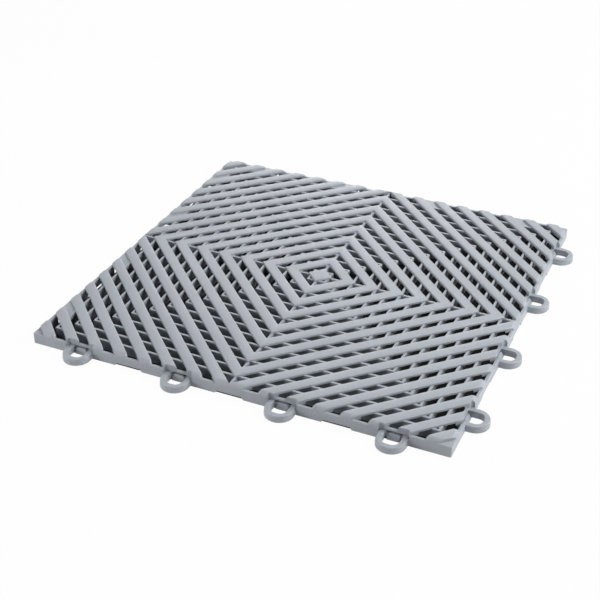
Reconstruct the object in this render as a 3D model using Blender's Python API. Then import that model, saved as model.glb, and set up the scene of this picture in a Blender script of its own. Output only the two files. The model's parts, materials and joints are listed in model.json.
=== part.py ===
"""Vented interlocking floor tile, injection moulded in one piece.

Diamond-shaped ribs form the walking surface. They are fused over a grid of concentric square webs
inside an edge wall. Two edges carry loops, and the other two carry pegs that drop into the loops of
the next tile. Z is up, the tile lies on z = 0 and its centre is over the origin.
"""
import math

import bmesh
import bpy
from mathutils import Vector

MM = 0.001

# Whole tile
tile_side = 400 * MM
tile_height = 14 * MM
corner_cut = 1.2 * MM

# Walking surface: ribs at 45 degrees to the edges
ribs_each_way = 16
rib_width = 9.9 * MM
rib_depth = 5 * MM
rib_edge_cut = 0.8 * MM
rib_taper = 0.25 * MM

# Square webs under the ribs
web_thickness = 2.4 * MM
web_drop = 2 * MM
web_floor_gap = 2 * MM
foot_length = 7 * MM
foot_thickness = 3.4 * MM

# Edge wall
wall_thickness = 3 * MM
wall_drop = 3.5 * MM
rib_end_radius = 4.5 * MM
drain_width = 26 * MM
drain_height = 2.8 * MM

# Loops on the front and right edges
connectors_each_edge = 4
loop_width = 26.4 * MM
loop_reach = 17.5 * MM
loop_top = 7 * MM
loop_lift = 0.5 * MM
loop_edge_cut = 0.8 * MM
loop_hole_width = 15.6 * MM
loop_hole_reach = 12 * MM
loop_hole_radius = 6 * MM
catch_gap = 0.9 * MM
catch_drop = 1 * MM
catch_lean = 2.3 * MM
catch_inset = 0.2 * MM
catch_slot = 1.6 * MM
recess_depth = 3.5 * MM
recess_wall = 2.9 * MM

# Peg plates on the back and left edges
plate_width = 27 * MM
plate_reach = 17 * MM
plate_drop = 2.5 * MM
pocket_clearance = 0.8 * MM
peg_length_along = 11 * MM
peg_thickness = 7 * MM
peg_inset = 6.7 * MM
peg_taper = 1 * MM
peg_floor_gap = 1 * MM

half = tile_side / 2
rib_pitch = tile_side / ribs_each_way
web_pitch = rib_pitch / 2
rib_span = rib_width * math.sqrt(2)
connector_pitch = tile_side / connectors_each_edge
overlap = 1 * MM

FRONT = Vector((0, -1, 0))
RIGHT = Vector((1, 0, 0))
BACK = Vector((0, 1, 0))
LEFT = Vector((-1, 0, 0))


def clear_scene():
    for thing in list(bpy.data.objects):
        bpy.data.objects.remove(thing, do_unlink=True)


def plastic():
    """Light grey polypropylene, dull from the mould's fine texture."""
    material = bpy.data.materials.new("grey_polypropylene")
    material.use_nodes = True
    shader = material.node_tree.nodes["Principled BSDF"]
    shader.inputs["Base Color"].default_value = (0.40, 0.42, 0.45, 1)
    shader.inputs["Roughness"].default_value = 0.55
    shader.inputs["Metallic"].default_value = 0
    return material


def diamond(reach, height):
    """Four corners of a square that stands on its point, at one height."""
    return [Vector((reach, 0, height)), Vector((0, reach, height)),
            Vector((-reach, 0, height)), Vector((0, -reach, height))]


def square(reach, height):
    """Four corners of a square parallel to the tile's edges, at one height."""
    return [Vector((reach, -reach, height)), Vector((reach, reach, height)),
            Vector((-reach, reach, height)), Vector((-reach, -reach, height))]


def cut_square(reach, cut, height):
    """A square with its four corners cut off at 45 degrees, at one height."""
    near = reach - cut
    corners = [(reach, -near), (reach, near), (near, reach), (-near, reach),
               (-reach, near), (-reach, -near), (-near, -reach), (near, -reach)]
    return [Vector((x, y, height)) for x, y in corners]


def beside_edge(normal, along, outward, height):
    """A point given by its place along an edge and how far it lies outside the edge's face."""
    tangent = Vector((-normal.y, normal.x, 0))
    return normal * (half + outward) + tangent * along + Vector((0, 0, height))


def edge_block(normal, along, width, inner, outer, low, high, inset=0):
    """Outlines of a block beside an edge; its lower end may be smaller by an inset all round."""
    outlines = []
    for height, less in ((low, inset), (high, 0)):
        side = width / 2 - less
        outlines.append([beside_edge(normal, along - side, inner + less, height),
                         beside_edge(normal, along + side, inner + less, height),
                         beside_edge(normal, along + side, outer - less, height),
                         beside_edge(normal, along - side, outer - less, height)])
    return outlines


def add_solid(mesh, outlines, capped=True):
    """Skin matching outlines in order: capped at both ends, or closed round into a hoop."""
    loops = [[mesh.verts.new(point) for point in outline] for outline in outlines]
    count = len(loops[0])
    pairs = list(zip(loops, loops[1:]))
    if not capped:
        pairs.append((loops[-1], loops[0]))
    for lower, upper in pairs:
        for i in range(count):
            j = (i + 1) % count
            mesh.faces.new((lower[i], lower[j], upper[j], upper[i]))
    if capped:
        mesh.faces.new(loops[0][::-1])
        mesh.faces.new(loops[-1])


def finish_mesh(mesh, name):
    """Turn a bmesh into an object in the scene, with its faces pointing outwards."""
    bmesh.ops.recalc_face_normals(mesh, faces=mesh.faces)
    data = bpy.data.meshes.new(name)
    mesh.to_mesh(data)
    mesh.free()
    thing = bpy.data.objects.new(name, data)
    bpy.context.scene.collection.objects.link(thing)
    return thing


def make_object(name, solids):
    """One mesh object from a list of (outlines, capped) solids that don't touch each other."""
    mesh = bmesh.new()
    for outlines, capped in solids:
        add_solid(mesh, outlines, capped)
    return finish_mesh(mesh, name)


def shape_with(tile, tool, operation):
    """Fuse, cut or trim the tile with a tool object, which is then only a helper."""
    tool.hide_render = True
    tool.display_type = 'WIRE'
    step = tile.modifiers.new(tool.name, 'BOOLEAN')
    step.operation = operation
    step.object = tool
    step.solver = 'EXACT'


def connector_places(normals):
    """Every (edge, place along it) that has a connector."""
    for normal in normals:
        for i in range(connectors_each_edge):
            yield normal, (i + 0.5) * connector_pitch - half


def rib_solids():
    """Diamond hoops with cut top edges and slightly tapered sides, round one solid diamond."""
    crest = tile_height
    shoulder = crest - rib_edge_cut
    base = crest - rib_depth
    cut = rib_edge_cut * math.sqrt(2)
    taper = rib_taper * math.sqrt(2)
    solids = []
    for k in range(ribs_each_way):
        outer = rib_pitch / 2 + k * rib_pitch
        inner = outer - rib_span
        outside = [diamond(outer + taper, base), diamond(outer, shoulder), diamond(outer - cut, crest)]
        inside = [diamond(inner + cut, crest), diamond(inner, shoulder), diamond(inner - taper, base)]
        if inner <= 0:
            solids.append((outside, True))
        else:
            solids.append((outside + inside, False))
    return solids


def rib_envelope():
    """The block that trims the ribs to the tile and rounds their ends down to the edge wall."""
    outlines = [square(half, tile_height - rib_depth - overlap)]
    steps = 2
    for i in range(steps + 1):
        angle = math.pi / 2 * i / steps
        outlines.append(square(half - rib_end_radius * (1 - math.cos(angle)),
                               tile_height - rib_end_radius * (1 - math.sin(angle))))
    outlines.append(square(half - rib_end_radius, tile_height + overlap))
    return [(outlines, True)]


def web_reaches():
    """Half sizes of the square webs, whose corners sit in the middle of the gaps between ribs."""
    first = (rib_pitch / 2 + (rib_pitch - rib_span) / 2) / 2
    reach = first
    while reach < half - wall_thickness - web_pitch / 2:
        yield reach
        reach += web_pitch


def grid_outlines():
    """Seen from above: the rim of the web grid with a tab at each axis, then the cells inside it."""
    near = web_thickness / 2
    reaches = list(web_reaches())
    rim = reaches[-1] + near
    tab = half - overlap
    outlines = [[]]
    for x, y in ((1, 0), (0, 1), (-1, 0), (0, -1)):
        for out, side in ((rim, -near), (tab, -near), (tab, near), (rim, near), (rim, rim)):
            outlines[0].append((x * out - y * side, y * out + x * side))
    inner = near
    for reach in reaches:
        outer = reach - near
        if inner == near:
            cell = [(near, near), (outer, near), (outer, outer), (near, outer)]
        else:
            cell = [(inner, near), (outer, near), (outer, outer), (near, outer), (near, inner), (inner, inner)]
        for x, y in ((1, 1), (-1, 1), (-1, -1), (1, -1)):
            outlines.append([(x * across, y * up) for across, up in cell])
        inner = reach + near
    return outlines


def make_grid(name):
    """Concentric square webs and the two webs under the ribs' mitres, as one pierced plate."""
    mesh = bmesh.new()
    edges = []
    for outline in grid_outlines():
        corners = [mesh.verts.new((x, y, web_floor_gap)) for x, y in outline]
        edges += [mesh.edges.new((corners[i - 1], corners[i])) for i in range(len(corners))]
    bmesh.ops.triangle_fill(mesh, edges=edges, use_beauty=True, use_dissolve=False)
    raised = bmesh.ops.extrude_face_region(mesh, geom=mesh.faces[:])["geom"]
    top = [part for part in raised if isinstance(part, bmesh.types.BMVert)]
    height = tile_height - web_drop - web_floor_gap
    bmesh.ops.translate(mesh, verts=top, vec=(0, 0, height))
    return finish_mesh(mesh, name)


def foot_solids():
    """Feet: one under the middle, and two along each side of every sixth square web."""
    high = web_floor_gap + overlap
    solids = [([square(foot_length / 2, 0), square(foot_length / 2, high)], True)]
    for reach in list(web_reaches())[4::6]:
        middle = reach - half
        for normal in (FRONT, RIGHT, BACK, LEFT):
            for along in (-reach / 2, reach / 2):
                solids.append((edge_block(normal, along, foot_length, middle - foot_thickness / 2,
                                          middle + foot_thickness / 2, 0, high), True))
    return solids


def wall_solids():
    """Edge wall with solid triangular corners behind the last rib."""
    high = tile_height - wall_drop
    inner = half - wall_thickness
    last_rib = rib_pitch / 2 + (ribs_each_way - 1) * rib_pitch
    inner_cut = 2 * inner - last_rib + overlap
    return [([cut_square(half, corner_cut, 0), cut_square(half, corner_cut, high),
              cut_square(inner, inner_cut, high), cut_square(inner, inner_cut, 0)], False)]


def plate_solids():
    low = loop_top
    high = tile_height - plate_drop
    return [(edge_block(normal, along, plate_width, -plate_reach, -overlap, low, high), True)
            for normal, along in connector_places((BACK, LEFT))]


def recess_wall_solids():
    """Thicker wall behind each loop, so that the recess leaves a wall."""
    low = web_floor_gap + overlap / 2
    high = tile_height - wall_drop - overlap / 2
    width = loop_width + 2 * recess_wall
    return [(edge_block(normal, along, width, -recess_depth - recess_wall, -overlap, low, high), True)
            for normal, along in connector_places((FRONT, RIGHT))]


def pocket_solids():
    """Room from below for the next tile's loops."""
    width = loop_width + 2 * pocket_clearance
    reach = loop_reach + pocket_clearance
    high = loop_top + pocket_clearance
    return [(edge_block(normal, along, width, -reach, overlap, -overlap, high), True)
            for normal, along in connector_places((BACK, LEFT))]


def recess_solids():
    """Room above each loop, where the edge steps back."""
    width = loop_width + 2 * pocket_clearance
    low = loop_top - overlap / 2
    high = tile_height + overlap
    return [(edge_block(normal, along, width, -recess_depth, overlap, low, high), True)
            for normal, along in connector_places((FRONT, RIGHT))]


def loop_outline(normal, along, less, height):
    """U-shaped outline of a loop: two straight legs and a half round."""
    radius = loop_width / 2 - less
    middle = loop_reach - loop_width / 2
    root = -recess_depth - overlap
    steps = 8
    points = [beside_edge(normal, along + radius, root, height)]
    for i in range(steps + 1):
        angle = math.pi * i / steps
        points.append(beside_edge(normal, along + radius * math.cos(angle),
                                  middle + radius * math.sin(angle), height))
    points.append(beside_edge(normal, along - radius, root, height))
    return points


def loop_solids():
    levels = ((0, loop_lift), (0, loop_top - loop_edge_cut), (loop_edge_cut, loop_top))
    return [([loop_outline(normal, along, less, height) for less, height in levels], True)
            for normal, along in connector_places((FRONT, RIGHT))]


def hole_outline(normal, along, height):
    """Outline of a loop's hole: square at the wall, rounded at its far corners."""
    side = loop_hole_width / 2
    radius = loop_hole_radius
    root = overlap / 2 - recess_depth
    steps = 3
    points = [beside_edge(normal, along + side, root, height)]
    for start, turn in ((side - radius, 0), (radius - side, math.pi / 2)):
        for i in range(steps + 1):
            angle = turn + math.pi / 2 * i / steps
            points.append(beside_edge(normal, along + start + radius * math.cos(angle),
                                      loop_hole_reach - radius + radius * math.sin(angle), height))
    points.append(beside_edge(normal, along - side, root, height))
    return points


def hole_solids():
    return [([hole_outline(normal, along, -overlap), hole_outline(normal, along, loop_top + overlap / 2)],
             True)
            for normal, along in connector_places((FRONT, RIGHT))]


def slot_solids():
    """Slots through the wall at the back of each hole, over its catch."""
    low = loop_top - catch_drop
    return [(edge_block(normal, along, loop_hole_width, -recess_depth - recess_wall - overlap,
                        overlap - recess_depth, low, low + catch_slot), True)
            for normal, along in connector_places((FRONT, RIGHT))]


def catch_solids():
    """Leaning catches that fill the back of each hole under its slot, with a slit at each side."""
    side = loop_hole_width / 2 - catch_gap
    high = loop_top - catch_drop
    root = -recess_depth - overlap
    profile = ((-catch_inset, loop_lift), (-catch_inset - catch_lean, high), (root, high), (root, loop_lift))
    return [([[beside_edge(normal, along + across, outward, height) for outward, height in profile]
              for across in (-side, side)], True)
            for normal, along in connector_places((FRONT, RIGHT))]


def peg_solids():
    high = loop_top + pocket_clearance + overlap
    return [(edge_block(normal, along, peg_length_along, -peg_inset - peg_thickness / 2,
                        -peg_inset + peg_thickness / 2, peg_floor_gap, high, peg_taper), True)
            for normal, along in connector_places((BACK, LEFT))]


def drain_solids():
    """Shallow notches under the edge wall, halfway between neighbouring connectors."""
    solids = []
    for normal in (FRONT, RIGHT, BACK, LEFT):
        for i in range(1, connectors_each_edge):
            along = i * connector_pitch - half
            solids.append((edge_block(normal, along, drain_width, -wall_thickness - overlap, overlap,
                                      -overlap, drain_height), True))
    return solids


def whole_tile():
    """The complete moulding, as a helper that the two halves are cut from."""
    tile = make_object("whole_tile", rib_solids())
    tile.hide_render = True
    tile.display_type = 'WIRE'
    shape_with(tile, make_object("rib_envelope", rib_envelope()), 'INTERSECT')
    shape_with(tile, make_grid("web_grid"), 'UNION')
    shape_with(tile, make_object("edge_wall", wall_solids()), 'UNION')
    shape_with(tile, make_object("web_feet", foot_solids()), 'UNION')
    shape_with(tile, make_object("plates_and_recess_walls", plate_solids() + recess_wall_solids()), 'UNION')
    shape_with(tile, make_object("pockets_and_recesses", pocket_solids() + recess_solids()), 'DIFFERENCE')
    shape_with(tile, make_object("loops_and_pegs", loop_solids() + peg_solids()), 'UNION')
    shape_with(tile, make_object("loop_holes", hole_solids()), 'DIFFERENCE')
    shape_with(tile, make_object("slots_and_drains", slot_solids() + drain_solids()), 'DIFFERENCE')
    shape_with(tile, make_object("catches", catch_solids()), 'UNION')
    return tile


def build_halves():
    """The moulding in two nodes that meet on a plane beside the middle web."""
    tile = whole_tile()
    material = plastic()
    seam = web_pitch / 2
    reach = half + loop_reach + overlap
    for name, left, right in (("tile_left_half", -reach, seam), ("tile_right_half", seam, reach)):
        outlines = [[Vector((left, -reach, height)), Vector((right, -reach, height)),
                     Vector((right, reach, height)), Vector((left, reach, height))]
                    for height in (-overlap, tile_height + overlap)]
        node = make_object(name, [(outlines, True)])
        node.data.materials.append(material)
        step = node.modifiers.new("half_of_the_tile", 'BOOLEAN')
        step.operation = 'INTERSECT'
        step.object = tile
        step.solver = 'EXACT'


clear_scene()
build_halves()
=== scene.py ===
"""Looks of the vented interlocking floor tile: the moulding with its round edges, its plastic and the studio.

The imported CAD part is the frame. Everything is in metres, with +Z up and the tile lying on z = 0.
"""
import json
import math

import bmesh
import bpy
from mathutils import Matrix, Vector


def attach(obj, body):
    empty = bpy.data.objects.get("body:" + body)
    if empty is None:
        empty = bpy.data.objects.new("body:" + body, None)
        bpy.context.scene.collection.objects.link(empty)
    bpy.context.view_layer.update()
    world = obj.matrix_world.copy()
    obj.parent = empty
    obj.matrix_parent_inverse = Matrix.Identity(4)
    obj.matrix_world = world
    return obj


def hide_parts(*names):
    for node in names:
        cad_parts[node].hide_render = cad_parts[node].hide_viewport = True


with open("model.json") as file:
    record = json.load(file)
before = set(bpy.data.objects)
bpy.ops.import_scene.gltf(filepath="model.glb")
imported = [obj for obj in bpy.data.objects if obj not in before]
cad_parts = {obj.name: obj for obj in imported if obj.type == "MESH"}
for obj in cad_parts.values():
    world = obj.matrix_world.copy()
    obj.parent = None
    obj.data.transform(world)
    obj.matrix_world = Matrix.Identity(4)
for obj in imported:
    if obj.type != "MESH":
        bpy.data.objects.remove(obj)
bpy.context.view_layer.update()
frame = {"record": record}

MM = 0.001


# The ribs are the walking surface: concentric diamonds with slightly domed crests and round edges, moulded in
# one with the webs under them. Their ends come down in a round nose to the edge wall, and their sides lean a
# little so that the tile leaves the tool.
def add_node(tree, kind, inputs=(), **settings):
    """A node with its settings, each input set to a value or fed by a socket."""
    node = tree.nodes.new(kind)
    for name, value in settings.items():
        setattr(node, name, value)
    for key, value in dict(inputs).items():
        if isinstance(value, bpy.types.NodeSocket):
            tree.links.new(value, node.inputs[key])
        else:
            node.inputs[key].default_value = value
    return node


def reckon(tree, operation, first, second=0.0):
    return add_node(tree, "ShaderNodeMath", {0: first, 1: second}, operation=operation).outputs[0]


def vector_of(tree, x, y, z):
    return add_node(tree, "ShaderNodeCombineXYZ", {0: x, 1: y, 2: z}).outputs[0]


def new_tree(name, sockets):
    """An empty geometry tree with named inputs, and its input sockets and output socket."""
    tree = bpy.data.node_groups.new(name, "GeometryNodeTree")
    for label, kind in sockets:
        tree.interface.new_socket(label, in_out='INPUT', socket_type=kind)
    tree.interface.new_socket("Geometry", in_out='OUTPUT', socket_type='NodeSocketGeometry')
    return tree, tree.nodes.new("NodeGroupInput").outputs, tree.nodes.new("NodeGroupOutput").inputs[0]


def finish_tree(tree, geometry, material, result):
    """End a tree in Realize Instances and Set Material."""
    real = add_node(tree, "GeometryNodeRealizeInstances", {"Geometry": geometry}).outputs[0]
    dressed = add_node(tree, "GeometryNodeSetMaterial", {"Geometry": real, "Material": material})
    tree.links.new(dressed.outputs[0], result)


def link_mesh(name, mesh):
    thing = bpy.data.objects.new(name, mesh)
    bpy.context.scene.collection.objects.link(thing)
    return thing


def plain_copy(source, name):
    """The evaluated mesh of an object as a plain object, which takes the source's place."""
    graph = bpy.context.evaluated_depsgraph_get()
    mesh = bpy.data.meshes.new_from_object(source.evaluated_get(graph))
    bpy.data.objects.remove(source, do_unlink=True)
    return link_mesh(name, mesh)


def grow(name, tree, values):
    """Run a tree with these values for its named inputs, and keep what it makes as a plain object."""
    seed = link_mesh(name + "_seed", bpy.data.meshes.new(name))
    step = seed.modifiers.new(name, 'NODES')
    step.node_group = tree
    for item in tree.interface.items_tree:
        if item.in_out == 'INPUT':
            step[item.identifier] = values[item.name]
    return plain_copy(seed, name)


def skin(name, outlines, hoop=False):
    """A closed solid skinned over matching outlines: capped at both ends, or closed round into a hoop."""
    mesh = bmesh.new()
    loops = [[mesh.verts.new(point) for point in outline] for outline in outlines]
    if hoop:
        loops.append(loops[0])
    for lower, upper in zip(loops, loops[1:]):
        for i in range(len(lower)):
            mesh.faces.new((lower[i - 1], lower[i], upper[i], upper[i - 1]))
    if not hoop:
        mesh.faces.new(loops[0][::-1])
        mesh.faces.new(loops[-1])
    bmesh.ops.remove_doubles(mesh, verts=mesh.verts, dist=MM / 1000)
    bmesh.ops.recalc_face_normals(mesh, faces=mesh.faces)
    data = bpy.data.meshes.new(name)
    mesh.to_mesh(data)
    mesh.free()
    data.materials.append(plastic)
    return link_mesh(name, data)


def shape_with(solid, steps):
    """Fuse, cut or trim a solid with tools in order, and take the tools away.

    Faces that would lie in one plane are kept a weld allowance apart, or the result would not be closed.
    """
    for operation, tool in steps:
        step = solid.modifiers.new(tool.name, 'BOOLEAN')
        step.operation = operation
        step.object = tool
        step.solver = 'EXACT'
    done = plain_copy(solid, solid.name.split(".")[0])
    for operation, tool in steps:
        bpy.data.objects.remove(tool, do_unlink=True)
    return done


def four_quarters(points):
    """An outline's first quarter, turned to make the whole."""
    turns = [Matrix.Rotation(math.pi / 2 * quarter, 3, 'Z') for quarter in range(4)]
    return [turn @ point for turn in turns for point in points]


def square_outline(reach, radius, height, steps=4):
    """A square with rounded corners, parallel to the tile's edges, at one height."""
    points = []
    for i in range(steps + 1):
        angle = math.pi / 2 * i / steps
        points.append(Vector((reach - radius + radius * math.cos(angle),
                              reach - radius + radius * math.sin(angle), height)))
    return four_quarters(points)


def rounded_side(low, high, low_radius, high_radius, steps=3):
    """Heights of an upright side with both edges rounded, and how far its outline is drawn in at each."""
    levels = []
    for i in range(steps + 1):
        angle = math.pi / 2 * i / steps
        levels.append((low + low_radius * (1 - math.cos(angle)), low_radius * (1 - math.sin(angle))))
    for i in range(steps + 1):
        angle = math.pi / 2 * i / steps
        levels.append((high - high_radius * (1 - math.sin(angle)), high_radius * (1 - math.cos(angle))))
    return levels


plastic = bpy.data.materials.new("grey_polypropylene")
plastic.use_nodes = True

mounts = {mount["name"]: Vector(mount["pos_m"]) for mount in frame["record"]["mounts"]}
half = mounts["right_edge"].x
crest = mounts["walking_surface"].z
ribs_each_way = 16
rib_pitch = 2 * half / ribs_each_way
rib_width = 9.9 * MM
rib_end_depth = 5 * MM
rib_foot = crest - rib_end_depth
rib_edge_radius = 1.1 * MM
rib_edge_steps = 3
rib_nose = 4.5 * MM
rib_nose_steps = 6
lean = 0.25 * MM
crown = 0.35 * MM
crown_steps = 4
tile_corner_radius = 0.2 * MM
overlap = 1 * MM
weld = 0.05 * MM
ROOT_TWO = math.sqrt(2)

hoops, given, result = new_tree("concentric_hoops", [
    ("Section", 'NodeSocketObject'), ("Count", 'NodeSocketInt'), ("First Distance", 'NodeSocketFloat'),
    ("Distance Step", 'NodeSocketFloat'), ("Turn", 'NodeSocketFloat'), ("Closed Within", 'NodeSocketFloat'),
    ("Material", 'NodeSocketMaterial')])
index = add_node(hoops, "GeometryNodeInputIndex").outputs[0]
steps_out = reckon(hoops, 'MULTIPLY', index, given["Distance Step"])
reach = reckon(hoops, 'MULTIPLY', reckon(hoops, 'ADD', given["First Distance"], steps_out), ROOT_TWO)
centres = add_node(hoops, "GeometryNodePoints", {"Count": given["Count"]}).outputs[0]
unit = add_node(hoops, "GeometryNodeCurvePrimitiveCircle", {"Resolution": 4, "Radius": 1.0}).outputs[0]
turned = add_node(hoops, "GeometryNodeTransform", {
    "Geometry": unit, "Rotation": vector_of(hoops, 0.0, 0.0, given["Turn"])}).outputs[0]
placed = add_node(hoops, "GeometryNodeInstanceOnPoints", {
    "Points": centres, "Instance": turned, "Scale": vector_of(hoops, reach, reach, 1.0)}).outputs[0]
paths = add_node(hoops, "GeometryNodeRealizeInstances", {"Geometry": placed}).outputs[0]
level = add_node(hoops, "GeometryNodeSetCurveNormal", {"Curve": paths}, mode='Z_UP').outputs[0]
drawn = add_node(hoops, "GeometryNodeObjectInfo", {"Object": given["Section"]}).outputs["Geometry"]
outline = add_node(hoops, "GeometryNodeMeshToCurve", {"Mesh": drawn}).outputs[0]
mitred = add_node(hoops, "GeometryNodeTransform", {
    "Geometry": outline, "Rotation": Vector((0, 0, math.pi)), "Scale": Vector((ROOT_TWO, 1, 1))}).outputs[0]
swept = add_node(hoops, "GeometryNodeCurveToMesh", {"Curve": level, "Profile Curve": mitred}).outputs[0]
spot = add_node(hoops, "ShaderNodeSeparateXYZ", {
    0: add_node(hoops, "GeometryNodeInputPosition").outputs[0]}).outputs
off_axis = add_node(hoops, "ShaderNodeVectorMath", {
    0: vector_of(hoops, spot[0], spot[1], 0.0)}, operation='LENGTH').outputs["Value"]
closed = add_node(hoops, "GeometryNodeSetPosition", {
    "Geometry": swept, "Selection": reckon(hoops, 'LESS_THAN', off_axis, given["Closed Within"]),
    "Position": vector_of(hoops, 0.0, 0.0, spot[2])}).outputs[0]
merged = add_node(hoops, "GeometryNodeMergeByDistance", {"Geometry": closed, "Distance": MM / 100}).outputs[0]
finish_tree(hoops, merged, given["Material"], result)


def section_of(name, points):
    """A closed outline across a rib or web: how far in from its outer face, and how high."""
    data = bpy.data.meshes.new(name)
    count = len(points)
    data.from_pydata([(x, y, 0) for x, y in points], [(i, (i + 1) % count) for i in range(count)], [])
    return link_mesh(name, data)


def crown_height(across):
    """The height of the rib's slightly domed crest, at this distance in from its outer face."""
    return crest - crown * (2 * across / rib_width - 1) ** 2


crown_slope = math.atan(4 * crown / rib_width)
edge_start = rib_edge_radius * (1 - math.sin(crown_slope))
edge_middle = crown_height(edge_start) - rib_edge_radius * math.cos(crown_slope)
rounded_edge = []
for i in range(rib_edge_steps + 1):
    angle = (math.pi / 2 - crown_slope) * i / rib_edge_steps
    rounded_edge.append((rib_edge_radius * (1 - math.cos(angle)),
                         edge_middle + rib_edge_radius * math.sin(angle)))
domed_crest = []
for i in range(1, crown_steps):
    across = edge_start + (rib_width - 2 * edge_start) * i / crown_steps
    domed_crest.append((across, crown_height(across)))
far_edge = [(rib_width - across, height) for across, height in reversed(rounded_edge)]
rib_points = [(-lean, rib_foot)] + rounded_edge + domed_crest + far_edge + [(rib_width + lean, rib_foot)]
rib_section = section_of("rib_section", rib_points)
ribs = grow("ribs", hoops, {
    "Section": rib_section, "Count": ribs_each_way, "First Distance": rib_pitch / 2 / ROOT_TWO,
    "Distance Step": rib_pitch / ROOT_TWO, "Turn": 0.0, "Closed Within": rib_width / 2, "Material": plastic})
bpy.data.objects.remove(rib_section, do_unlink=True)
mesh = bmesh.new()
mesh.from_mesh(ribs.data)
bmesh.ops.delete(mesh, geom=[edge for edge in mesh.edges if edge.is_wire], context='EDGES')
bmesh.ops.recalc_face_normals(mesh, faces=mesh.faces)
mesh.to_mesh(ribs.data)
mesh.free()

trim_levels = rounded_side(rib_foot - overlap, crest + weld, 0, rib_nose, rib_nose_steps)
trim_levels.append((crest + overlap, rib_nose))
ribs = shape_with(ribs, [('INTERSECT', skin("outer_form", [
    square_outline(half - weld - inset, tile_corner_radius, height, 1) for height, inset in trim_levels]))])


# The webs are concentric squares of thin upright walls, 2 mm lower than the ribs that they carry, with one
# more wall under each line where the ribs turn. Short feet under some of them stand on the floor.
web_pitch = rib_pitch / 2
web_thickness = 2.4 * MM
web_top = crest - 2 * MM
web_foot = 2 * MM
web_edge_radius = 0.5 * MM
web_lean = 0.2 * MM
first_web = (rib_pitch - rib_width * ROOT_TWO / 2) / 2
web_count = 15
foot_length = 7 * MM
foot_thickness = 3.4 * MM
foot_edge_radius = 0.4 * MM
first_footed_web = 4
webs_between_feet = 6

web_points = [(web_lean, web_foot)]
for turn in range(2):
    for i in range(3):
        angle = math.pi / 4 * (i + 2 * turn)
        middle = web_thickness - web_edge_radius if turn else web_edge_radius
        web_points.append((middle - web_edge_radius * math.cos(angle),
                           web_top - web_edge_radius * (1 - math.sin(angle))))
web_points.append((web_thickness - web_lean, web_foot))
web_section = section_of("web_section", web_points)
webs = grow("webs", hoops, {
    "Section": web_section, "Count": web_count, "First Distance": first_web + web_thickness / 2,
    "Distance Step": web_pitch, "Turn": math.radians(45), "Closed Within": 0.0, "Material": plastic})
bpy.data.objects.remove(web_section, do_unlink=True)


def block_outline(length, width, height):
    """A rectangle round the origin, at one height."""
    return [Vector((x * length / 2, y * width / 2, height)) for x, y in ((-1, -1), (1, -1), (1, 1), (-1, 1))]


def web_bar(name, turn, drop):
    """A web from wall to wall, with its upper edges rounded, a hair lower than the webs that it crosses."""
    outlines = [block_outline(2 * (half - overlap), web_thickness - 2 * inset, height)
                for height, inset in rounded_side(web_foot + drop, web_top - drop, 0, web_edge_radius, 2)]
    return skin(name, [[Matrix.Rotation(turn, 3, 'Z') @ point for point in outline] for outline in outlines])


rows, given, result = new_tree("rows_beside_edges", [
    ("Template", 'NodeSocketObject'), ("Sides", 'NodeSocketInt'), ("First Turn", 'NodeSocketFloat'),
    ("Count", 'NodeSocketInt'), ("Spacing", 'NodeSocketFloat'), ("Distance", 'NodeSocketFloat'),
    ("Material", 'NodeSocketMaterial')])
index = add_node(rows, "GeometryNodeInputIndex").outputs[0]
side = reckon(rows, 'FLOOR', reckon(rows, 'DIVIDE', index, given["Count"]))
number = reckon(rows, 'SUBTRACT', index, reckon(rows, 'MULTIPLY', side, given["Count"]))
middle = reckon(rows, 'MULTIPLY', reckon(rows, 'SUBTRACT', given["Count"], 1.0), 0.5)
along = reckon(rows, 'MULTIPLY', reckon(rows, 'SUBTRACT', number, middle), given["Spacing"])
turn = reckon(rows, 'ADD', given["First Turn"], reckon(rows, 'MULTIPLY', side, math.pi / 2))
place = add_node(rows, "ShaderNodeVectorRotate", {
    "Vector": vector_of(rows, along, reckon(rows, 'MULTIPLY', given["Distance"], -1.0), 0.0),
    "Angle": turn}, rotation_type='Z_AXIS').outputs[0]
spots = add_node(rows, "GeometryNodePoints", {
    "Count": reckon(rows, 'MULTIPLY', given["Sides"], given["Count"]), "Position": place}).outputs[0]
template = add_node(rows, "GeometryNodeObjectInfo", {"Object": given["Template"]}).outputs["Geometry"]
copies = add_node(rows, "GeometryNodeInstanceOnPoints", {
    "Points": spots, "Instance": template, "Rotation": vector_of(rows, 0.0, 0.0, turn)}).outputs[0]
finish_tree(rows, copies, given["Material"], result)


def row_of(template, sides, first_turn, count, spacing, distance):
    """Copies of a template that is modelled at the middle of the front edge."""
    made = grow(template.name + "_row", rows, {
        "Template": template, "Sides": sides, "First Turn": first_turn, "Count": count, "Spacing": spacing,
        "Distance": distance, "Material": plastic})
    bpy.data.objects.remove(template, do_unlink=True)
    return made


def foot():
    levels = rounded_side(0, web_foot + overlap, foot_edge_radius, 0, 2)
    return skin("foot", [block_outline(foot_length - 2 * inset, foot_thickness - 2 * inset, height)
                         for height, inset in levels])


foot_rows = [row_of(foot(), 1, 0.0, 1, 0.0, 0.0)]
for number in range(first_footed_web, web_count, webs_between_feet):
    reach = first_web + number * web_pitch
    foot_rows.append(row_of(foot(), 4, 0.0, 2, reach, reach))


# The ribs are thin bars on the webs. Only their ends are deep, where they stand on the edge wall, and there
# their tips are rounded on one side. They are of one moulding with the webs and the wall.
rib_depth = 2.6 * MM
rib_under = crest - rib_depth
under_step = 0.3 * MM
last_rib = rib_pitch / 2 + (ribs_each_way - 1) * rib_pitch
recess_depth = 3.5 * MM
recess_wall = 2.9 * MM
thin_reach = half - recess_depth - recess_wall - 2 * weld - under_step
tip_length = 5 * MM
tip_steps = 5
tip_clearance = 2 * MM
tip_bite = 0.15 * MM
tip_count = ribs_each_way // 2 - 1
middle_tip = (tip_count + 2) / 2 * rib_pitch - rib_width * ROOT_TWO


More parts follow.
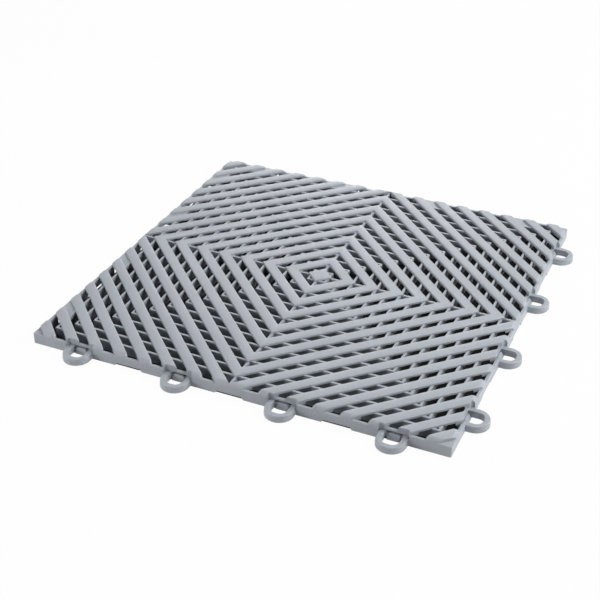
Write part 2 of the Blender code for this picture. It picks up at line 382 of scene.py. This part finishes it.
def tip_outline(inset, height, hand):
    """What is cut away beside the tip of a rib that leans away from the edge's middle, at one height."""
    radius = tip_length * math.tan(math.pi / 8)
    bite_along = (1 + ROOT_TWO) * tip_bite
    points = [(-(1 + ROOT_TWO) * tip_clearance, -tip_clearance), (tip_length + bite_along, -tip_clearance)]
    for i in range(tip_steps + 1):
        angle = math.radians(270 - 135 * i / tip_steps)
        points.append((tip_length + bite_along + radius * math.cos(angle),
                       tip_bite + radius + radius * math.sin(angle)))
    points.append((points[-1][0] - tip_clearance / ROOT_TWO, points[-1][1] + tip_clearance / ROOT_TWO))
    return [Vector((hand * (middle_tip + inset + x), inset + y, height)) for x, y in points]


tips = [row_of(skin("rib_tips", [tip_outline(weld + inset, height, hand) for height, inset in trim_levels]),
               4, 0.0, tip_count, rib_pitch, half) for hand in (1, -1)]
ribs = shape_with(ribs, [('DIFFERENCE', row) for row in tips])
mesh = bmesh.new()
mesh.from_mesh(ribs.data)
for reach in (thin_reach + under_step, thin_reach):
    for x, y in ((1, 0), (0, 1), (-1, 0), (0, -1)):
        bmesh.ops.bisect_plane(mesh, geom=mesh.verts[:] + mesh.edges[:] + mesh.faces[:], dist=MM / 10000,
                               plane_co=(x * reach, y * reach, 0), plane_no=(x, y, 0))
for vert in mesh.verts:
    across, along = abs(vert.co.x), abs(vert.co.y)
    if (vert.co.z < rib_under and max(across, along) < thin_reach + under_step / 2
            and across + along < last_rib - (rib_width + overlap) * ROOT_TWO):
        others = [edge.other_vert(vert).co for edge in vert.link_edges]
        above = [other for other in others if other.z > rib_under]
        slope = (above[0] - vert.co) / (above[0].z - vert.co.z) if above else Vector((0, 0, 1))
        vert.co += slope * (rib_under - vert.co.z)
mesh.to_mesh(ribs.data)
mesh.free()


# The edge wall closes the tile all round, with solid triangles behind the last rib at its corners. Shallow
# notches under it let water out. It is moulded with the ribs and webs.
wall_thickness = 3 * MM
wall_top = crest - 3.5 * MM
wall_edge_radius = 0.6 * MM
wall_foot_radius = 0.4 * MM
corner_radius = 1.6 * MM
corner_steps = 4
drain_width = 26 * MM
drain_height = 2.8 * MM
drain_corner = 0.8 * MM
connectors_each_edge = 4
connector_pitch = 2 * half / connectors_each_edge


def cut_square_outline(reach, cut, height, steps):
    """A square with cut corners, with as many points as a rounded one."""
    return four_quarters([
        Vector((reach - cut * i / steps, reach - cut + cut * i / steps, height)) for i in range(steps + 1)])


inner = half - wall_thickness
inner_cut = 2 * inner - last_rib + overlap
wall_levels = rounded_side(0, wall_top, wall_foot_radius, wall_edge_radius)
outer_side = [square_outline(half - inset, corner_radius - inset, height, corner_steps)
              for height, inset in wall_levels]
inner_side = [cut_square_outline(inner + inset, inner_cut, height, corner_steps)
              for height, inset in reversed(wall_levels)]
wall = skin("edge_wall", outer_side + inner_side, hoop=True)

drain = skin("drain", [
    [Vector((x * (drain_width / 2 - draw), y, height)) for x, y in (
        (-1, -2 * overlap), (1, -2 * overlap), (1, wall_thickness + overlap), (-1, wall_thickness + overlap))]
    for height, draw in (
        (-overlap, -overlap), (drain_height - drain_corner, 0), (drain_height, drain_corner))])
drains = row_of(drain, 4, 0.0, connectors_each_edge - 1, connector_pitch, half)


# The loops on the front and right edges take the pegs of the next tile. Each is a flat ring with a faint
# step where the tool parts. A sprung catch stands in a slot at the back of its hole and snaps over the peg,
# and the edge steps back above the loop.
loop_width = 26.4 * MM
loop_reach = 17.5 * MM
loop_top = mounts["front_loops"].z
loop_lift = 0.5 * MM
loop_foot_radius = 0.5 * MM
loop_rim_radius = 0.9 * MM
loop_parting = 3.6 * MM
loop_step = 0.25 * MM
hole_width = 15.6 * MM
hole_reach = 12 * MM
hole_radius = 6 * MM
hole_rim_radius = 0.5 * MM
hole_root = 0.4 * MM
recess_wall_foot = web_foot + 0.5 * MM
recess_wall_top = rib_foot + 0.2 * MM
recess_foot = loop_top - 0.5 * MM
recess_corner = 2.5 * MM
recess_nose = 0.8 * MM
pocket_clearance = 0.8 * MM
slot_clearance = 0.3 * MM
slot_inset = 0.5 * MM
slot_foot = 4 * MM
slot_top = 7.6 * MM
catch_width = 11.2 * MM
catch_foot = 0.8 * MM
catch_top = 6 * MM
catch_corner = 2.4 * MM
catch_corner_steps = 4
catch_edge_cut = 0.4 * MM
catch_root = 1.5 * MM
catch_inset = 0.2 * MM
catch_lean = 2.3 * MM


def tongue_outline(side, reach, radius, root, height, steps=6):
    """A strip that comes out of the edge, with its far corners rounded, at one height."""
    points = [(side, root)]
    for middle, start in ((side - radius, 0), (radius - side, math.pi / 2)):
        for i in range(steps + 1):
            angle = start + math.pi / 2 * i / steps
            points.append((middle + radius * math.cos(angle), reach - radius + radius * math.sin(angle)))
    points.append((-side, root))
    return [Vector((x, -outward, height)) for x, outward in points]


def ring_outline(inset, height):
    radius = loop_width / 2 - inset
    return tongue_outline(radius, loop_reach - inset, radius, -recess_depth - overlap, height, 10)


def hole_outline(grown, height):
    return tongue_outline(hole_width / 2 + grown, hole_reach + grown, hole_radius + grown,
                          hole_root - recess_depth, height)


def box(name, width, inward, outward, low, high):
    """A plain block at the middle of the front edge, between two distances from the edge's face."""
    return skin(name, [[Vector((x * width / 2, y, height)) for x, y in (
        (-1, -outward), (1, -outward), (1, inward), (-1, inward))] for height in (low, high)])


def recess_outline(grown, height):
    outline = tongue_outline(loop_width / 2 + pocket_clearance + grown, recess_depth + grown,
                             recess_corner + grown, -overlap, height)
    return [Vector((point.x, -point.y, point.z)) for point in outline]


def catch_profile(x):
    """The catch's outline from the side, lower towards its rounded upper corners."""
    past = max(0, abs(x) - catch_width / 2 + catch_corner)
    top = catch_top - catch_corner + math.sqrt(catch_corner ** 2 - past ** 2)
    face = catch_inset + catch_lean * (top - catch_foot) / (catch_top - catch_foot)
    back = recess_depth + catch_root
    return [Vector((x, y, z)) for y, z in (
        (catch_inset, catch_foot), (face, top - catch_edge_cut), (face + catch_edge_cut, top),
        (back, top), (back, catch_foot))]


ring_levels = rounded_side(loop_lift, loop_parting, loop_foot_radius, 0) + [
    (height, inset + loop_step) for height, inset in rounded_side(
        loop_parting + loop_step, loop_top, 0, loop_rim_radius, 4)]
ring = skin("loop", [ring_outline(inset, height) for height, inset in ring_levels])
hole_levels = rounded_side(-overlap, loop_top, 0, hole_rim_radius)
hole_levels.append((loop_top + overlap / 2, hole_rim_radius))
hole = skin("hole", [hole_outline(grown, height) for height, grown in hole_levels])
recess_back = box("recess_back", loop_width + 2 * recess_wall, recess_depth + recess_wall, -overlap,
                  recess_wall_foot, recess_wall_top)
recess_levels = rounded_side(recess_foot, crest + weld, 0, recess_nose)
recess_levels.append((crest + overlap, recess_nose))
recess = skin("recess", [recess_outline(grown, height) for height, grown in recess_levels])
slot = box("slot", hole_width - 2 * slot_clearance, recess_depth + recess_wall + overlap, -slot_inset,
           slot_foot, slot_top)
catch_places = []
for i in range(catch_corner_steps + 1):
    angle = math.pi / 2 * (catch_corner_steps - i) / catch_corner_steps
    catch_places.append(catch_corner * (1 - math.sin(angle)) - catch_width / 2)
catch = skin("catch", [catch_profile(x) for x in catch_places + [-x for x in reversed(catch_places)]])

loop_rows = {name: row_of(shape, 2, 0.0, connectors_each_edge, connector_pitch, half) for name, shape in (
    ("ring", ring), ("hole", hole), ("recess_back", recess_back), ("recess", recess), ("slot", slot),
    ("catch", catch))}


# The plates on the back and left edges fill the gaps between the ribs over the pegs, which drop into the
# next tile's loops. Each has a pocket under it for the loop, and is moulded with the tile.
plate_width = 27 * MM
plate_reach = 17 * MM
plate_drop = 2.5 * MM
peg_length_along = 11 * MM
peg_thickness = 7 * MM
peg_inset = 6.7 * MM
peg_taper = 0.9 * MM
peg_end_cut = 0.3 * MM
peg_end_height = 0.4 * MM
peg_foot = mounts["back_pegs"].z
plate = box("plate", plate_width, plate_reach, -overlap, loop_top, crest - plate_drop)
pocket = box("pocket", loop_width + 2 * pocket_clearance, loop_reach + pocket_clearance, overlap, -overlap,
             loop_top + pocket_clearance)
peg = skin("peg", [[Vector((point.x, point.y + peg_inset, point.z)) for point in block_outline(
    peg_length_along - 2 * less, peg_thickness - 2 * less, height)] for height, less in (
    (peg_foot, peg_taper + peg_end_cut), (peg_foot + peg_end_height, peg_taper),
    (loop_top + pocket_clearance + overlap, 0))])
peg_rows = {name: row_of(shape, 2, math.pi, connectors_each_edge, connector_pitch, half) for name, shape in (
    ("plate", plate), ("pocket", pocket), ("peg", peg))}


# The whole tile comes out of the tool as one moulding of grey polypropylene, in one shot. The tool's fine
# grain gives it a dull satin skin, and the melt leaves faint flow marks in its colour.
sharp_from = math.radians(35)
cross_web = web_bar("cross_web", 0, weld)
long_web = web_bar("long_web", math.pi / 2, 2 * weld)
bodies = [webs, cross_web, long_web, wall] + foot_rows + [peg_rows["plate"], loop_rows["recess_back"]]
tile = shape_with(ribs, [('UNION', body) for body in bodies] + [
    ('DIFFERENCE', peg_rows["pocket"]), ('DIFFERENCE', loop_rows["recess"]),
    ('UNION', loop_rows["ring"]), ('UNION', peg_rows["peg"]),
    ('DIFFERENCE', loop_rows["hole"]), ('DIFFERENCE', loop_rows["slot"]), ('UNION', loop_rows["catch"]),
    ('DIFFERENCE', drains)])
tile.name = "floor_tile"
tile.data.shade_smooth()
tile.data.set_sharp_from_angle(angle=sharp_from)
weighting = tile.modifiers.new("even_normals", 'WEIGHTED_NORMAL')
weighting.keep_sharp = True
tile = plain_copy(tile, "floor_tile")

grey = Vector((0.39, 0.42, 0.46))
flow_marks = 0.05
flow_size = 60 * MM
grain_marks = 0.08
grain_size = 0.7 * MM
grain_depth = 0.08 * MM
grain_strength = 0.35
roughness = 0.45
roughness_spread = 0.06
gloss_patch_size = 4 * MM

look = plastic.node_tree
shader = look.nodes["Principled BSDF"]
where = look.nodes.new("ShaderNodeTexCoord").outputs["Object"]


def noise(size, detail):
    """Noise with features of this size, from about 0 to 1."""
    return add_node(look, "ShaderNodeTexNoise", {
        "Vector": where, "Scale": 1 / size, "Detail": detail}).outputs["Fac"]


def spread(value, low, high):
    """The middle of a noise's range, drawn out between two values."""
    return add_node(look, "ShaderNodeMapRange", {
        "Value": value, "From Min": 0.3, "From Max": 0.7, "To Min": low, "To Max": high}).outputs[0]


grain = noise(grain_size, 2.0)
tone = reckon(look, 'MULTIPLY', spread(noise(flow_size, 3.0), 1 - flow_marks, 1 + flow_marks),
              spread(grain, 1 - grain_marks, 1 + grain_marks))
tinted = add_node(look, "ShaderNodeVectorMath", {0: grey, "Scale": tone}, operation='SCALE').outputs[0]
look.links.new(tinted, shader.inputs["Base Color"])
gloss = spread(noise(gloss_patch_size, 2.0), roughness - roughness_spread, roughness + roughness_spread)
look.links.new(gloss, shader.inputs["Roughness"])
skin_texture = add_node(look, "ShaderNodeBump", {
    "Height": grain, "Strength": grain_strength, "Distance": grain_depth})
look.links.new(skin_texture.outputs[0], shader.inputs["Normal"])

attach(tile, "root")
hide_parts("tile_left_half", "tile_right_half")


# The studio: a white sweep and white surroundings, which the camera and the gloss of the plastic see as
# white, and broad lamps round the tile. Where the tile stands, the sweep is painted near-black as painted
# shade under the tile, and it has no white glow there.
floor_reach = 6
floor_grey = 0.85
painted_shade_grey = 0.02
painted_shade_inset = 2 * MM
floor_whiteness = 0.96
lamp_distance = 1.8


def white_to_the_eye(tree, lit):
    """A shader that is white to the camera and to mirrored rays, and lights the object as the one given."""
    rays = tree.nodes.new("ShaderNodeLightPath").outputs
    seen = reckon(tree, 'MAXIMUM', rays["Is Camera Ray"], rays["Is Glossy Ray"])
    seen = reckon(tree, 'MAXIMUM', seen, rays["Is Transmission Ray"])
    bright = add_node(tree, "ShaderNodeEmission", {"Color": (1, 1, 1, 1), "Strength": 1.0}).outputs[0]
    return add_node(tree, "ShaderNodeMixShader", {0: seen, 1: lit, 2: bright}).outputs[0], seen


floor_mesh = bpy.data.meshes.new("studio_floor")
floor_mesh.from_pydata(block_outline(2 * floor_reach, 2 * floor_reach, 0), [], [(0, 1, 2, 3)])
floor = link_mesh("studio_floor", floor_mesh)
white = bpy.data.materials.new("studio_white")
white.use_nodes = True
paint = white.node_tree
shader = paint.nodes["Principled BSDF"]
shader.inputs["Roughness"].default_value = 1
spot = add_node(paint, "ShaderNodeSeparateXYZ", {
    0: paint.nodes.new("ShaderNodeTexCoord").outputs["Object"]}).outputs
off_centre = reckon(paint, 'MAXIMUM', reckon(paint, 'ABSOLUTE', spot[0]), reckon(paint, 'ABSOLUTE', spot[1]))
# Painted shade: inside the tile's outline the sweep's colour is near-black and its white glow is off.
under = reckon(paint, 'LESS_THAN', off_centre, half - painted_shade_inset)
painted_shade_colour = add_node(paint, "ShaderNodeMix", {
    "Factor": under, 6: (floor_grey, floor_grey, floor_grey, 1), 7: (painted_shade_grey, painted_shade_grey, painted_shade_grey, 1)},
    data_type='RGBA').outputs[2]
paint.links.new(painted_shade_colour, shader.inputs["Base Color"])
plain, seen = white_to_the_eye(paint, shader.outputs[0])
beside = reckon(paint, 'MULTIPLY', reckon(paint, 'SUBTRACT', 1.0, under), floor_whiteness)
share = reckon(paint, 'MULTIPLY', seen, beside)
paint.links.new(share, plain.node.inputs[0])
paint.links.new(plain, paint.nodes["Material Output"].inputs["Surface"])
floor_mesh.materials.append(white)

world = bpy.data.worlds.new("studio_world")
bpy.context.scene.world = world
world.use_nodes = True
sky = world.node_tree
background = sky.nodes["Background"]
background.inputs["Strength"].default_value = 0
around, seen = white_to_the_eye(sky, background.outputs[0])
sky.links.new(around, sky.nodes["World Output"].inputs["Surface"])


def softbox(name, azimuth, elevation, size, power):
    """A square lamp turned to the tile's centre, with its angles in degrees and its power in watts."""
    lamp = bpy.data.lights.new(name, 'AREA')
    lamp.size = size
    lamp.energy = power
    box_lamp = bpy.data.objects.new(name, lamp)
    bpy.context.scene.collection.objects.link(box_lamp)
    azimuth, elevation = math.radians(azimuth), math.radians(elevation)
    level = math.cos(elevation)
    toward = Vector((math.cos(azimuth) * level, math.sin(azimuth) * level, math.sin(elevation)))
    box_lamp.location = lamp_distance * toward
    box_lamp.rotation_euler = (-box_lamp.location).to_track_quat('-Z', 'Y').to_euler()


softbox("right_back_lamp", 40, 42, 1.0, 16.5)
softbox("low_back_lamp", 110, 15, 0.8, 7.4)
softbox("right_lamp", 350, 42, 0.8, 12)
softbox("low_right_lamp", 10, 18, 0.8, 7.6)
softbox("left_lamp", 190, 55, 0.8, 4)
softbox("low_left_lamp", 220, 18, 0.8, 14)

# The camera stands where the rib pattern in the photograph puts it.
camera_place = Vector((0.38792, -0.93018, 0.61616))
yaw = math.radians(-23.75677)
pitch = math.radians(32.11373)
roll = math.radians(-0.33782)
forward = Vector((math.sin(yaw) * math.cos(pitch), math.cos(yaw) * math.cos(pitch), -math.sin(pitch)))
level_right = forward.cross(Vector((0, 0, 1))).normalized()
level_down = forward.cross(level_right)
right = math.cos(roll) * level_right + math.sin(roll) * level_down
up = math.sin(roll) * level_right - math.cos(roll) * level_down
lens = bpy.data.cameras.new("camera")
lens.sensor_fit = 'HORIZONTAL'
lens.sensor_width = 36
lens.lens = 71.51
lens.clip_start = 0.01
camera = bpy.data.objects.new("camera", lens)
bpy.context.scene.collection.objects.link(camera)
camera.matrix_world = Matrix((
    (right.x, up.x, -forward.x, camera_place.x), (right.y, up.y, -forward.y, camera_place.y),
    (right.z, up.z, -forward.z, camera_place.z), (0, 0, 0, 1)))
bpy.context.scene.camera = camera
bpy.context.scene.view_settings.view_transform = 'Standard'
